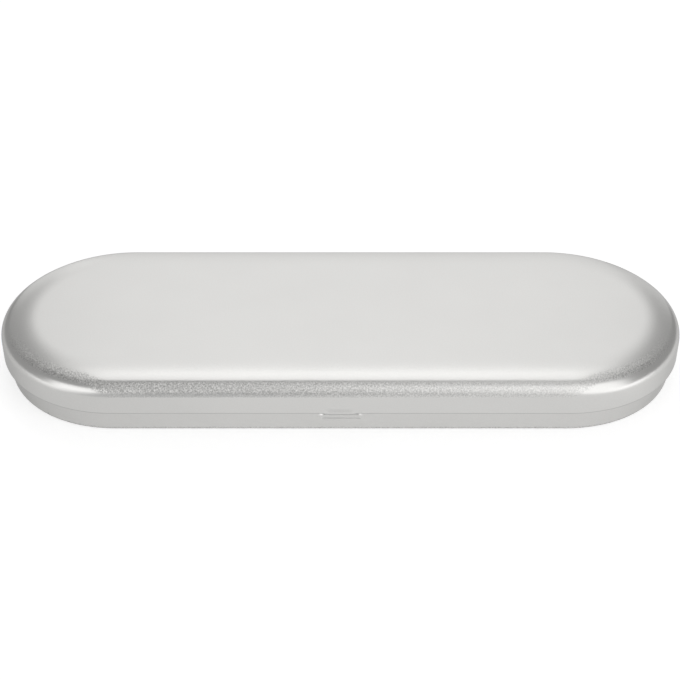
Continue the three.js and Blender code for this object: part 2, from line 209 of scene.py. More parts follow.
class HingeSizes(PropertyGroup):
    """Sizes of the two hinges and their rivets."""

    middle: length("Middle", "From the case's middle to a hinge's", (TRAY_LEAF_LOW.x + TRAY_LEAF_HIGH.x) / 2)
    leaf_length: length("Leaf length", "Length of a hinge leaf", TRAY_LEAF_HIGH.x - TRAY_LEAF_LOW.x)
    leaf_sheet: length("Leaf sheet", "Thickness of a leaf", 0.4 * MM)
    leaf_gap: length("Leaf gap", "From a leaf to the wall that carries it", 0.1 * MM)
    leaf_round: length("Leaf corner", "Radius of a leaf's free corners", 0.9 * MM)
    leaf_bevel: length("Leaf bevel", "Broken edges of a leaf", 0.05 * MM)
    roll_angle: angle("Roll angle", "How far a knuckle is rolled round the wire", 325)
    barrel_gap: length("Barrel gap", "Free space round the rolled knuckles", 0.4 * MM)
    knuckle_play: length("Knuckle play", "Between two knuckles", 0.25 * MM)
    pin_radius: length("Pin radius", "Radius of the hinge wire", 0.55 * MM)
    pin_clearance: length("Pin clearance", "From the wire to its knuckles", 0.1 * MM)
    pin_head: length("Pin head", "Thickness of the wire's upset ends", 0.4 * MM)
    rivet_margin: length("Rivet margin", "From a rivet to the end of its leaf", 5 * MM)
    rivet_head: length("Rivet head", "Height of a rivet's domed head", 0.5 * MM)
    rivet_shank: length("Rivet shank", "Radius of a rivet's shank", 0.5 * MM)
    rivet_tail: length("Rivet tail", "Height of a rivet's upset tail", 0.3 * MM)
    rivet_tail_radius: length("Rivet tail radius", "Radius of a rivet's upset tail", 0.95 * MM)
    rivet_seat: length("Rivet seat", "From a rivet's head to the metal under it", 0.05 * MM)


class LiningSizes(PropertyGroup):
    """Sizes of the foam and of the magnet sheet."""

    slots: IntProperty(name="Slots", description="Number of tweezer slots", default=4, min=1)
    slot_width: length("Slot width", "Width of a tweezer slot", 8 * MM)
    rib_width: length("Rib width", "Foam between two slots", 4 * MM)
    slot_margin: length("Slot margin", "From the foam's tip to the end of a slot", 13.5 * MM)
    foam_round: length("Foam edge", "Softness of the foam's cut edges", 0.55 * MM)
    foam_sag: length("Foam sag", "How far the foam's faces fall away towards its edges", 0.12 * MM)
    pad_round: length("Pad edge", "Softness of the lid pad's edge", 0.8 * MM)
    magnet_round: length("Magnet edge", "Softness of the magnet sheet's edge", 0.15 * MM)


class Finishes(PropertyGroup):
    """Colours of the materials."""

    metal: colour("Case metal", "Pressed sheet of the lid and the tray", (0.61, 0.606, 0.594))
    grazing: colour("Grazing metal", "Tint of that sheet seen at a low angle", (0.65, 0.65, 0.65))
    # This colour is also used for the painted shade line and the painted shade of the seam.
    cut_metal: colour("Cut edge", "Bare edge of that sheet", (0.44, 0.44, 0.435))
    hinge: colour("Hinge steel", "Leaves, wires and rivets", (0.56, 0.56, 0.55))
    foam: colour("Foam", "Slotted insert and lid pad", (0.03, 0.03, 0.032))
    magnet: colour("Magnet sheet", "Bottom of the slots", (0.045, 0.041, 0.038))
    floor: colour("Floor", "Studio floor", (0.5, 0.5, 0.5))


class StudioSizes(PropertyGroup):
    """Camera, lamps and floor."""

    eye: place("Eye", "Camera's place", (-0.00011, -0.29924, 0.2208))
    target: place("Target", "Point that the camera looks at", (-0.00011, 0, 0.00602))
    lens: FloatProperty(name="Lens", description="Focal length", default=76.65, subtype="DISTANCE_CAMERA")
    floor_half: length("Floor", "Half the width of the floor", 3)
    floor_drop: length("Floor drop", "From the case's underside to the floor", 0.02 * MM)
    lamp_distance: length("Lamp distance", "From the case to the softboxes", 1)
    lamp_level: strength("Lamps", "Brightness of all softboxes", 1)
    room_level: strength("Room", "Brightness of the room around the case", 0.43)
    white_level: strength("White", "Light that lifts the floor to white", 0.65)
    mirror_level: strength("Mirrored", "That light in reflections", 0.61)
    fade_start: length("Fade start", "Where the mirrored light starts to fade, in front of the case", 0.05)
    fade_end: length("Fade end", "Where the mirrored light ends", 0.24)
    left_share: strength("Left", "Share of the mirrored light at the left of the case", 0.72)
    left_start: length("Left start", "From the middle to where that share starts", 0.03)
    left_end: length("Left end", "From the middle to where that share is reached", 0.095)
    pool_level: strength("Pools", "Mirrored light added at the front corners", 0.95)
    pool_side: length("Pool side", "From the middle sideways to where that light starts", 0.08)
    pool_side_full: length("Full pool side", "From the middle sideways to where it is full", 0.11)
    pool_front: length("Pool front", "From the middle forwards to where that light starts", 0.025)
    pool_front_full: length("Full pool front", "From the middle forwards to where it is full", 0.055)


class CaseSettings(PropertyGroup):
    """All settings of the tweezer case."""

    shell: PointerProperty(type=ShellSizes)
    hinge: PointerProperty(type=HingeSizes)
    lining: PointerProperty(type=LiningSizes)
    finish: PointerProperty(type=Finishes)
    studio: PointerProperty(type=StudioSizes)


# Surfaces


def plateau(distance, span, ease):
    """1 across the middle of a span and 0 outside it, with a slope as wide as the ease at each end.

    The slope is a squared sine.
    """
    return np.sin(np.pi / 2 * np.clip((span / 2 - np.abs(distance)) / ease, 0, 1)) ** 2


def arc(middle, radius, start, end, steps):
    """Points (inset, height) of an arc. Angle 0 points to the middle of the case and 90 degrees up."""
    turn = np.linspace(start, end, steps + 1)
    return np.stack([middle[0] + radius * np.cos(turn), middle[1] + radius * np.sin(turn)], axis=1)


def stops(*values):
    """Sorted places along a line, without repeats."""
    return np.unique(np.round(np.concatenate([np.ravel(part) for part in values]), STOP_DIGITS))


def grid_faces(columns, rows, closed=True):
    """Corner numbers of a grid's faces, by column and row, with its points stored column by column."""
    column = np.arange(columns if closed else columns - 1)[:, None]
    row = np.arange(rows - 1)[None]
    here = column * rows + row
    there = (column + 1) % columns * rows + row
    return np.stack([here, there, there + 1, here + 1], axis=-1)


def joined(patches):
    """Points and faces of closed grids put into one mesh."""
    starts = np.cumsum([0] + [patch.shape[0] * patch.shape[1] for patch in patches[:-1]])
    points = np.concatenate([patch.reshape(-1, 3) for patch in patches])
    faces = [grid_faces(*patch.shape[:2]).reshape(-1, 4) + start for patch, start in zip(patches, starts)]
    return points, np.concatenate(faces).tolist()


def stadium(along, steps):
    """Stations round a long shape with half-round ends, anticlockwise from the left end of its lower side.

    Each has a foot on the straight middle line and an outward direction. A point at a reach from that line
    is foot + direction * reach, so a side is a straight line and an end a half circle.
    """
    turn = np.linspace(-np.pi / 2, np.pi / 2, steps + 1)
    end = np.full(turn.size, along[-1])
    level = np.zeros(along.size)
    foot = np.concatenate([along, end, along[::-1], -end])
    out_x = np.concatenate([level, np.cos(turn), level, -np.cos(turn)])
    out_y = np.concatenate([level - 1, np.sin(turn), level + 1, -np.sin(turn)])
    return foot, out_x, out_y


def hinge_gates(hinge):
    """Places along the rear wall where the openings for the hinge barrels start and end."""
    half = hinge.leaf_length / 2 + hinge.knuckle_play + hinge.pin_head + hinge.barrel_gap
    return [side * hinge.middle + end * half for side in (-1, 1) for end in (-1, 1)]


def barrel_reach(hinge):
    """From the hinge line to the edge of a leaf's plate, past the knuckles and the gap round them."""
    return hinge.pin_radius + hinge.pin_clearance + hinge.leaf_sheet + hinge.barrel_gap


def outline(shell, hinge):
    """Stations round the case, closer together along the thumb notch, and with one at each hinge gate."""
    straight = shell.half_length - shell.half_width
    side = np.linspace(-straight, straight, SIDE_STEPS + 1)
    thumb = np.linspace(-shell.notch_width / 2, shell.notch_width / 2, THUMB_STEPS + 1)
    return stadium(stops(side, thumb, hinge_gates(hinge)), END_STEPS)


def carried(stations, half_width, profile):
    """A profile of (inset, height) rows carried round the case's outline, as points by station and row."""
    foot, out_x, out_y = (part[:, None] for part in stations)
    reach = half_width - profile[None, :, 0]
    height = np.broadcast_to(profile[None, :, 1], (foot.shape[0], profile.shape[0]))
    return np.stack([foot + out_x * reach, out_y * reach, height], axis=-1)


def opened(faces, stations, gates, first_row, last_row):
    """Faces of a carried shell with openings through its rear wall, from one row over the rim to another.

    Between two gates the rim's faces give way to one strip that joins the two rows. Each side of the opening
    is closed by a face that follows the section.
    """
    columns, rows = faces.shape[0], faces.shape[1] + 1
    foot, _, out_y = stations
    rear = np.flatnonzero(out_y == 1)
    keep = np.ones(faces.shape[:2], bool)
    closing = []
    for low, high in zip(gates[::2], gates[1::2]):
        start = rear[np.argmin(np.abs(foot[rear] - high))]
        stop = rear[np.argmin(np.abs(foot[rear] - low))]
        keep[start:stop, first_row:last_row] = False
        column = np.arange(start, stop)
        here, there = column * rows, (column + 1) % columns * rows
        strip = [here + first_row, there + first_row, there + last_row, here + last_row]
        section = np.arange(first_row, last_row + 1)
        closing += np.stack(strip, axis=-1).tolist()
        closing += [(start * rows + section[::-1]).tolist(), (stop * rows + section).tolist()]
    return faces[keep].tolist() + closing


def row_at(profile, height):
    """Number of the profile's row at a height."""
    return int(np.argmin(np.abs(profile[:, 1] - height)))


def shoulder(shell):
    """Middles (inset, height) of the crown's arc and of the corner's arc, which meet at the crown angle."""
    spread = shell.crown_radius - shell.corner_radius
    crown = (shell.corner_radius + spread * math.sin(shell.crown_angle), shell.height - shell.crown_radius)
    corner = (shell.corner_radius, crown[1] + spread * math.cos(shell.crown_angle))
    return crown, corner


def lid_section(shell, depth, gate):
    """One face of the lid from the middle line to the skirt's edge, a depth below the outer face.

    The flat top runs into a wide crown arc, that into a corner arc, and the corner into a straight skirt.
    """
    slope = np.pi / 2 + shell.crown_angle
    crown_middle, corner_middle = shoulder(shell)
    crown = arc(crown_middle, shell.crown_radius - depth, np.pi / 2, slope, CROWN_STEPS)
    corner = arc(corner_middle, shell.corner_radius - depth, slope, np.pi, CORNER_STEPS)
    top = shell.height - depth
    support = crown_middle[0] + SUPPORT_SHARE * (shell.half_width - crown_middle[0])
    flat = np.array([(shell.half_width, top), (support, top)])
    edge = shell.seam_height + shell.sheet / 2
    bare_top = shell.seam_height + shell.cut_edge
    levels = stops(np.linspace(corner_middle[1], edge, SKIRT_STEPS + 1), gate, bare_top)
    skirt = np.stack([np.full(levels.size, depth), levels[::-1]], axis=1)
    return np.concatenate([flat, crown, corner[1:], skirt[1:]])


def wall_slope(shell):
    """How far the tray's wall leans out for each unit that it rises."""
    return shell.wall_draft / (shell.seam_height - shell.bottom_radius)


def tray_section(shell, depth, gate, neck_top):
    """One face of the tray from the middle line to its neck, a depth inside the outer face.

    The floor runs into a corner arc, and that into a wall that leans out up to the seam. The neck above it
    is upright.
    """
    radius = shell.bottom_radius
    slope = wall_slope(shell)
    stretch = math.hypot(1, slope)
    middle = (shell.tray_inset + shell.wall_draft + radius * stretch, radius)
    corner = arc(middle, radius - depth, -np.pi / 2, math.atan(slope) - np.pi, CORNER_STEPS)
    support = middle[0] + SUPPORT_SHARE * (shell.half_width - middle[0])
    flat = np.array([(shell.half_width, depth), (support, depth)])
    notch_top = shell.seam_height - shell.notch_drop + shell.notch_height / 2
    rise = np.linspace(corner[-1, 1], notch_top, WALL_STEPS + 1)
    levels = stops(rise, shell.seam_height, gate, neck_top)
    inset = shell.tray_inset + slope * np.clip(shell.seam_height - levels, 0, None) + depth * stretch
    wall = np.stack([inset, levels], axis=1)
    return np.concatenate([flat, corner, wall[1:]])


def rolled_rim(shell):
    """The tray's rolled rim: an arc from the neck's outer face over the top and under to its inner face."""
    middle = (shell.tray_inset + shell.curl_radius, TRAY_HIGH.z - shell.curl_radius)
    end = math.acos(1 - shell.sheet / shell.curl_radius) - np.pi
    return arc(middle, shell.curl_radius, np.pi, end, CURL_STEPS)


def slab_section(half_width, box, softness, sag):
    """Section of a slab with soft edges, from the middle of its underside to the middle of its top.

    Both edges are quarter arcs. From the edge to the middle the underside sinks by the sag, as a parabola.
    """
    low, high = box[0].z, box[1].z
    inset = half_width - box[1].y
    turn = np.linspace(0, np.pi / 2, EDGE_STEPS + 1)
    way = np.linspace(1, 0, 2 * EDGE_STEPS + 1)[:-1]
    run = half_width - inset - softness
    under = np.stack([inset + softness + way * run, low + sag * (1 - way) ** 2], axis=1)
    lower = np.stack([1 - np.sin(turn), 1 - np.cos(turn)], axis=1) * softness + (inset, low + sag)
    upper = np.stack([1 - np.cos(turn), np.sin(turn) - 1], axis=1) * softness + (inset, high)
    return np.concatenate([under, lower, upper, [(half_width, high)]])


def turned(profile, origin, axis):
    """A profile of (radius, along) rows turned about an axis through an origin, by turn and row."""
    axis = np.asarray(axis, float)
    first = np.cross(axis, TURN_GUIDE)
    first /= np.linalg.norm(first)
    second = np.cross(axis, first)
    turn = np.linspace(0, 2 * np.pi, ROUND_STEPS, endpoint=False)[:, None, None]
    outward = first * np.cos(turn) + second * np.sin(turn)
    radius, along = profile[None, :, :1], profile[None, :, 1:]
    return np.asarray(origin) + outward * radius + axis * along


# Materials


def new_material(name, metallic):
    """A node material with its principled surface shader."""
    material = bpy.data.materials.new(name)
    material.use_nodes = True
    surface = next(node for node in material.node_tree.nodes if node.type == "BSDF_PRINCIPLED")
    surface.inputs["Metallic"].default_value = metallic
    return material, surface


def scaled_place(tree, size, stretch):
    """Object coordinates counted in grains of a size in metres, longer along an axis by its stretch."""
    source = tree.nodes.new("ShaderNodeTexCoord")
    mapping = tree.nodes.new("ShaderNodeMapping")
    mapping.inputs["Scale"].default_value = [1 / (size * long) for long in stretch]
    tree.links.new(source.outputs["Object"], mapping.inputs["Vector"])
    return mapping.outputs["Vector"]


def place_along(tree, axis):
    """The object coordinate along an axis, in metres."""
    source = tree.nodes.new("ShaderNodeTexCoord")
    parts = tree.nodes.new("ShaderNodeSeparateXYZ")
    tree.links.new(source.outputs["Object"], parts.inputs["Vector"])
    return parts.outputs[axis]


def grain(tree, size, detail, stretch=(1, 1, 1)):
    """Noise of a size in metres."""
    noise = tree.nodes.new("ShaderNodeTexNoise")
    noise.inputs["Scale"].default_value = 1
    noise.inputs["Detail"].default_value = detail
    tree.links.new(scaled_place(tree, size, stretch), noise.inputs["Vector"])
    return noise.outputs["Fac"]


def pores(tree, size):
    """Round cells of a size in metres: 0 in the middle of each, rising to its walls."""
    cells = tree.nodes.new("ShaderNodeTexVoronoi")
    cells.inputs["Scale"].default_value = 1
    tree.links.new(scaled_place(tree, size, (1, 1, 1)), cells.inputs["Vector"])
    return cells.outputs["Distance"]


def mark(tree, name):
    """A share from 0 to 1 that the piece's points carry."""
    node = tree.nodes.new("ShaderNodeAttribute")
    node.attribute_name = name
    return node.outputs["Fac"]


def ranged(tree, value, low, high, spread=NOISE_SPREAD):
    """A value brought from its usual spread to a range."""
    node = tree.nodes.new("ShaderNodeMapRange")
    node.inputs["From Min"].default_value, node.inputs["From Max"].default_value = spread
    node.inputs["To Min"].default_value = low
    node.inputs["To Max"].default_value = high
    tree.links.new(value, node.inputs["Value"])
    return node.outputs["Result"]


def shaded(tree, value, base, dark, light):
    """A colour that varies with a value between darker and lighter shares of itself."""
    node = tree.nodes.new("ShaderNodeValToRGB")
    for stop, share, position in zip(node.color_ramp.elements, (dark, light), NOISE_SPREAD):
        stop.position = position
        stop.color = [min(1, part * share) for part in base] + [1]
    tree.links.new(value, node.inputs["Fac"])
    return node.outputs["Color"]


def feed(tree, value, socket):
    """Links another node's output to an input, or writes a plain value on it."""
    if isinstance(value, NodeSocket):
        tree.links.new(value, socket)
    else:
        socket.default_value = value


def worked_out(tree, operation, first, second=0):
    """The result of a calculation on one or two values."""
    node = tree.nodes.new("ShaderNodeMath")
    node.operation = operation
    feed(tree, first, node.inputs[0])
    feed(tree, second, node.inputs[1])
    return node.outputs["Value"]


def painted(tree, share, under, over):
    """A colour laid over another one where a share says so."""
    node = tree.nodes.new("ShaderNodeMix")
    node.data_type = "RGBA"
    feed(tree, share, node.inputs["Factor"])
    feed(tree, under, node.inputs["A"])
    feed(tree, over, node.inputs["B"])
    return node.outputs["Result"]


def relief(tree, height, depth, under=None):
    """A bumped normal from a height, on top of another one. Its depth is in metres, even or varying."""
    node = tree.nodes.new("ShaderNodeBump")
    node.inputs["Strength"].default_value = 1
    feed(tree, height, node.inputs["Height"])
    feed(tree, depth, node.inputs["Distance"])
    if under is not None:
        feed(tree, under, node.inputs["Normal"])
    return node.outputs["Normal"]


def satin_sheet(finish):
    """Satin silver sheet.

    A fine grain lies in its colour, gloss and relief, and faint clouds in its colour. Where the sheet was
    drawn over a corner its relief is deeper and its gloss duller. There the open grain is strong in the
    colour, as painted glints and painted shade. A painted shade line lies below it, and the cut edge is
    darker, as bare metal and as painted shade of the seam.
    """
    material, surface = new_material("satin_sheet", metallic=1)
    tree = material.node_tree
    pearl = grain(tree, size=0.34 * MM, detail=2)
    cloud = grain(tree, size=14 * MM, detail=2)
    drawn = mark(tree, "drawn")
    bare = (*finish.cut_metal, 1)
    clouded = shaded(tree, cloud, finish.metal, dark=0.985, light=1.015)
    grained = shaded(tree, pearl, finish.metal, dark=0.96, light=1.04)
    # The open grain's colour swings far round the metal's: painted glints, and on average painted shade.
    torn = shaded(tree, pearl, finish.metal, dark=0.56, light=1.28)
    even = painted(tree, share=0.5, under=clouded, over=grained)
    sheet = painted(tree, mark(tree, "torn"), even, torn)
    # A dark line of painted shade below the drawn corner.
    shade_lined = painted(tree, mark(tree, "die_line"), sheet, bare)
    gloss = ranged(tree, pearl, low=0.277, high=0.3)
    duller = ranged(tree, drawn, low=0, high=0.06, spread=MARK_SPREAD)
    depth = ranged(tree, drawn, low=0.003 * MM, high=0.05 * MM, spread=MARK_SPREAD)
    # The cut edge is darker: bare metal, and painted shade of the seam.
    feed(tree, painted(tree, mark(tree, "cut_edge"), shade_lined, bare), surface.inputs["Base Color"])
    feed(tree, worked_out(tree, "ADD", gloss, duller), surface.inputs["Roughness"])
    feed(tree, relief(tree, pearl, depth), surface.inputs["Normal"])
    feed(tree, (*finish.grazing, 1), surface.inputs["Specular Tint"])
    return material


def drawn_steel(finish):
    """Drawn steel: lines along the hinge in its gloss and relief, and faint stains in its colour."""
    material, surface = new_material("drawn_steel", metallic=1)
    tree = material.node_tree
    lines = grain(tree, size=0.12 * MM, detail=3, stretch=(24, 1, 1))
    stain = grain(tree, size=3 * MM, detail=2)
    feed(tree, shaded(tree, stain, finish.hinge, dark=0.92, light=1.06), surface.inputs["Base Color"])
    feed(tree, ranged(tree, lines, low=0.24, high=0.36), surface.inputs["Roughness"])
    feed(tree, relief(tree, lines, depth=0.004 * MM), surface.inputs["Normal"])
    return material


def celled_foam(finish):
    """Closed-cell foam: small burst cells, with painted shade in their pits, over a slightly uneven cut
    face.
    """
    material, surface = new_material("celled_foam", metallic=0)
    tree = material.node_tree
    cells = pores(tree, size=0.45 * MM)
    fuzz = grain(tree, size=0.2 * MM, detail=2)
    waves = grain(tree, size=5 * MM, detail=2)
    uneven = relief(tree, waves, depth=0.2 * MM)
    pitted = relief(tree, cells, depth=0.12 * MM, under=uneven)
    # Darker in the middle of each cell, where its pit is deepest: painted shade in the pits.
    feed(tree, shaded(tree, cells, finish.foam, dark=0.5, light=1.6), surface.inputs["Base Color"])
    feed(tree, ranged(tree, fuzz, low=0.98, high=0.86), surface.inputs["Roughness"])
    feed(tree, relief(tree, fuzz, depth=0.03 * MM, under=pitted), surface.inputs["Normal"])
    feed(tree, 0.25, surface.inputs["Specular IOR Level"])
    return material


def lined_rubber(finish):
    """Rolled magnet sheet: shallow lines across the case and a dull speckle."""
    material, surface = new_material("lined_rubber", metallic=0)
    tree = material.node_tree
    speckle = grain(tree, size=0.2 * MM, detail=2)
    lines = grain(tree, size=0.6 * MM, detail=1, stretch=(1, 40, 40))
    feed(tree, shaded(tree, speckle, finish.magnet, dark=0.8, light=1.25), surface.inputs["Base Color"])
    feed(tree, ranged(tree, speckle, low=0.5, high=0.68), surface.inputs["Roughness"])
    feed(tree, relief(tree, lines, depth=0.03 * MM), surface.inputs["Normal"])
    return material


def material_of(maker, finish):
    """The material that a function makes, made once and then shared."""
    return bpy.data.materials.get(maker.__name__) or maker(finish)


# Pieces


def add_piece(name, points, faces, material, body, node, marks=None):
    """Puts points and faces into a mesh, closes its seams and poles, and hangs it on its body.

    The piece takes the place of a CAD node. Marks are shares by point that its material reads.
    """
    mesh = bpy.data.meshes.new(name)
    mesh.from_pydata(np.asarray(points).reshape(-1, 3).tolist(), [], faces)
    for title, shares in (marks or {}).items():
        values = mesh.attributes.new(title, "FLOAT", "POINT").data
        values.foreach_set("value", np.ravel(shares).astype(np.float32))
    work = bmesh.new()
    work.from_mesh(mesh)
    bmesh.ops.remove_doubles(work, verts=work.verts, dist=MERGE_DISTANCE)
    work.to_mesh(mesh)
    work.free()
    mesh.shade_smooth()
    mesh.set_sharp_from_angle(angle=CREASE_ANGLE)
    mesh.materials.append(material)
    piece = bpy.data.objects.new(name, mesh)
    bpy.context.scene.collection.objects.link(piece)
    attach(piece, body)
    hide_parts(node)
    return piece


def share_along(x, shares):
    """A share by place along the case, on straight lines between the places that it is given for."""
    return np.interp(x, *np.transpose(shares))


def lid_marks(shell, x, y, z):
    """Shares by point of the lid, for its material.

    The drawn corner lies on the front, between the skirt and the crown. At the round ends its lower part is
    rubbed smooth, and it goes further up the crown. Its open grain carries painted glints and shade. A
    painted shade line lies just above the skirt. The cut edge is the lower edge of the skirt: bare metal,
    darker also as painted shade of the seam.
    """
    _, (_, skirt_top) = shoulder(shell)
    straight = shell.half_length - shell.half_width
    rubbed = np.clip((np.abs(x) - straight) / shell.rub_run, 0, 1)
    rise = shell.corner_radius * math.cos(shell.crown_angle)
    low = skirt_top + shell.rub_height * rubbed
    high = skirt_top + rise + shell.crown_grain * rubbed
    front = np.clip((-shell.grain_end - y) / shell.grain_run, 0, 1)
    drawn = front * plateau(z - (low + high) / 2, high - low, shell.grain_ease)
    # Painted shade line just above the skirt.
    line = plateau(z - skirt_top - shell.line_rise, shell.line_height, shell.line_ease)
    return {
        "drawn": drawn,
        # Painted glints and shade of the open grain, fading from left to right.
        "torn": drawn * share_along(x, GLINT_GRAIN_SHARES),
        # Painted shade line, on the front only, fading from left to right.
        "die_line": np.where(y < 0, line, 0) * share_along(x, SHADE_LINE_SHARES),
        # Bare cut edge, darker also as painted shade of the seam.
        "cut_edge": plateau(z - shell.seam_height, 2 * shell.cut_edge, shell.cut_edge / 2),
    }


class CASE_OT_lid(Operator):
    """Builds the lid: a pressed sheet with a crowned top, a skirt, a thumb lip and hinge openings."""

    bl_idname = "tweezer_case.lid"
    bl_label = "Lid"

    def execute(self, context):
        case = context.scene.tweezer_case
        shell = case.shell
        gate = HINGE_Z + barrel_reach(case.hinge)
        inner = lid_section(shell, shell.sheet, gate)
        outer = lid_section(shell, 0, gate)
        half = shell.sheet / 2
        edge = arc((half, shell.seam_height + half), half, 0, -np.pi, RIM_STEPS)
        profile = np.concatenate([inner, edge[1:-1], outer[::-1]])
        stations = outline(shell, case.hinge)
        points = carried(stations, shell.half_width, profile)
        x, y, z = np.moveaxis(points, -1, 0)
        marks = lid_marks(shell, x, y, z)
        lip = plateau(x, shell.lip_width, shell.thumb_ease)
        lip = lip * plateau(z - shell.seam_height, 2 * shell.lip_height, shell.lip_height)
        points[..., 1] -= np.where(y < 0, shell.lip_reach * lip, 0)
        first_row = row_at(inner, gate)
        last_row = profile.shape[0] - 1 - row_at(outer, gate)
        faces = opened(grid_faces(*points.shape[:2]), stations, hinge_gates(case.hinge), first_row, last_row)
        metal = material_of(satin_sheet, case.finish)
        add_piece("pressed_lid", points, faces, metal, "lid", "lid_shell", marks)
        return {"FINISHED"}


class CASE_OT_tray(Operator):
    """Builds the tray: a pressed sheet with a leaning wall, a thumb notch, a neck and a rolled rim."""

    bl_idname = "tweezer_case.tray"
    bl_label = "Tray"

    def execute(self, context):
        case = context.scene.tweezer_case
        shell = case.shell
        gate = HINGE_Z - barrel_reach(case.hinge)
        rim = rolled_rim(shell)
        outer = tray_section(shell, 0, gate, rim[0, 1])
        inner = tray_section(shell, shell.sheet, gate, rim[-1, 1])
        profile = np.concatenate([outer, rim[1:-1], inner[::-1]])
        stations = outline(shell, case.hinge)
        points = carried(stations, shell.half_width, profile)
        x, y, z = np.moveaxis(points, -1, 0)
        above_middle = z - shell.seam_height + shell.notch_drop
        notch = shell.notch_depth * plateau(above_middle, shell.notch_height, shell.notch_ease)
        flat = shell.flat_depth * plateau(above_middle, shell.flat_height, shell.flat_ease)
        pressed = (notch + flat) * plateau(x, shell.notch_width, shell.thumb_ease)
        drawn = plateau(z, 2 * shell.bottom_radius, shell.bottom_radius / 2)
        # The tray's drawn bottom corner gets the same painted glint speckle.
        marks = {"drawn": drawn, "torn": drawn}
        points[..., 1] += np.where(y < 0, pressed, 0)
        first_row = row_at(outer, gate)
        last_row = profile.shape[0] - 1 - row_at(inner, gate)
        faces = opened(grid_faces(*points.shape[:2]), stations, hinge_gates(case.hinge), first_row, last_row)
        metal = material_of(satin_sheet, case.finish)
        add_piece("pressed_tray", points, faces, metal, "base", "base_tray", marks)
        return {"FINISHED"}


def rolled_leaf(middle, plate, roll_way, knuckles, hinge):
    """Middle sheet of a hinge leaf: a path across the hinge, repeated along it.

    The path runs from the plate's free edge to its other edge, on to the barrel and round the hinge line by
    most of a turn. Past the plate only the cells of the leaf's own knuckles are kept. The free edge has
    round corners.
    """
    half = hinge.leaf_length / 2
    edge, end = np.array(plate)
    run = np.linalg.norm(end - edge)
    quarter = np.linspace(0, np.pi / 2, LEAF_CORNER_STEPS + 1)
    corner = hinge.leaf_round * (1 - np.cos(quarter))
    from_edge = np.concatenate([corner, np.linspace(corner[-1], run, EDGE_STEPS + 1)[1:]])
    straight = edge + (end - edge) * from_edge[:, None] / run
    radius = hinge.pin_radius + hinge.pin_clearance + hinge.leaf_sheet / 2
    turn = np.pi - roll_way * np.linspace(0, hinge.roll_angle, ROUND_STEPS)
    roll = np.stack([HINGE_Y + radius * np.cos(turn), HINGE_Z + radius * np.sin(turn)], axis=1)
    path = np.concatenate([straight, roll])
    drawn_in = np.zeros(path.shape[0])
    drawn_in[: quarter.size] = hinge.leaf_round * (1 - np.sin(quarter))
    columns = stops(knuckles, np.linspace(-half, half, 2 * EDGE_STEPS + 1))
    x = middle + columns[:, None] * (1 - drawn_in[None] / half)
    y = np.broadcast_to(path[None, :, 0], x.shape)
    z = np.broadcast_to(path[None, :, 1], x.shape)
    cell_middle = (columns[1:] + columns[:-1]) / 2
    own = np.any([(cell_middle > low) & (cell_middle < high) for low, high in knuckles], axis=0)
    keep = own[:, None] | (np.arange(path.shape[0] - 1)[None] < straight.shape[0] - 1)
    faces = grid_faces(columns.size, path.shape[0], closed=False)[keep]
    return np.stack([x, y, z], axis=-1), faces.tolist()


def thicken(piece, thickness, bevel):
    """Gives a middle sheet its thickness and breaks its sharp edges."""
    wall = piece.modifiers.new("sheet", "SOLIDIFY")
    wall.thickness = thickness
    wall.offset = 0
    wall.use_even_offset = True
    edge = piece.modifiers.new("broken_edges", "BEVEL")
    edge.width = bevel
    edge.segments = BEVEL_STEPS
    edge.limit_method = "ANGLE"
    edge.angle_limit = BEVEL_ANGLE


class CASE_OT_hinge_leaves(Operator):
    """Builds the four hinge leaves: plates with rolled knuckles, two on the tray and two on the lid."""

    bl_idname = "tweezer_case.hinge_leaves"
    bl_label = "Hinge leaves"

    def execute(self, context):
        case = context.scene.tweezer_case
        shell, hinge = case.shell, case.hinge
        half = hinge.leaf_length / 2
        knuckle = (hinge.leaf_length - (KNUCKLES - 1) * hinge.knuckle_play) / KNUCKLES
        outer_knuckles = [(-half, -half + knuckle), (half - knuckle, half)]
        inner_knuckles = [(-knuckle / 2, knuckle / 2)]
        to_middle = hinge.leaf_gap + hinge.leaf_sheet / 2
        heights = np.array((TRAY_LEAF_LOW.z, HINGE_Z - barrel_reach(hinge)))
        lean = wall_slope(shell) * (shell.seam_height - heights)
        tray_plate = np.stack([shell.half_width - shell.tray_inset - lean + to_middle, heights], axis=1)
        lid_face = shell.half_width - shell.sheet - to_middle
        lid_plate = [(lid_face, LID_LEAF_HIGH.z), (lid_face, HINGE_Z + barrel_reach(hinge))]
        steel = material_of(drawn_steel, case.finish)
        for side, name in ((-1, "left"), (1, "right")):
            for body, plate, roll_way, knuckles in (
                ("base", tray_plate, 1, outer_knuckles),
                ("lid", lid_plate, -1, inner_knuckles),
            ):
                points, faces = rolled_leaf(side * hinge.middle, plate, roll_way, knuckles, hinge)
                node = f"{name}_{body}_leaf"
                leaf = add_piece(f"{node}_rolled", points, faces, steel, body, node)
                thicken(leaf, hinge.leaf_sheet, hinge.leaf_bevel)
        return {"FINISHED"}


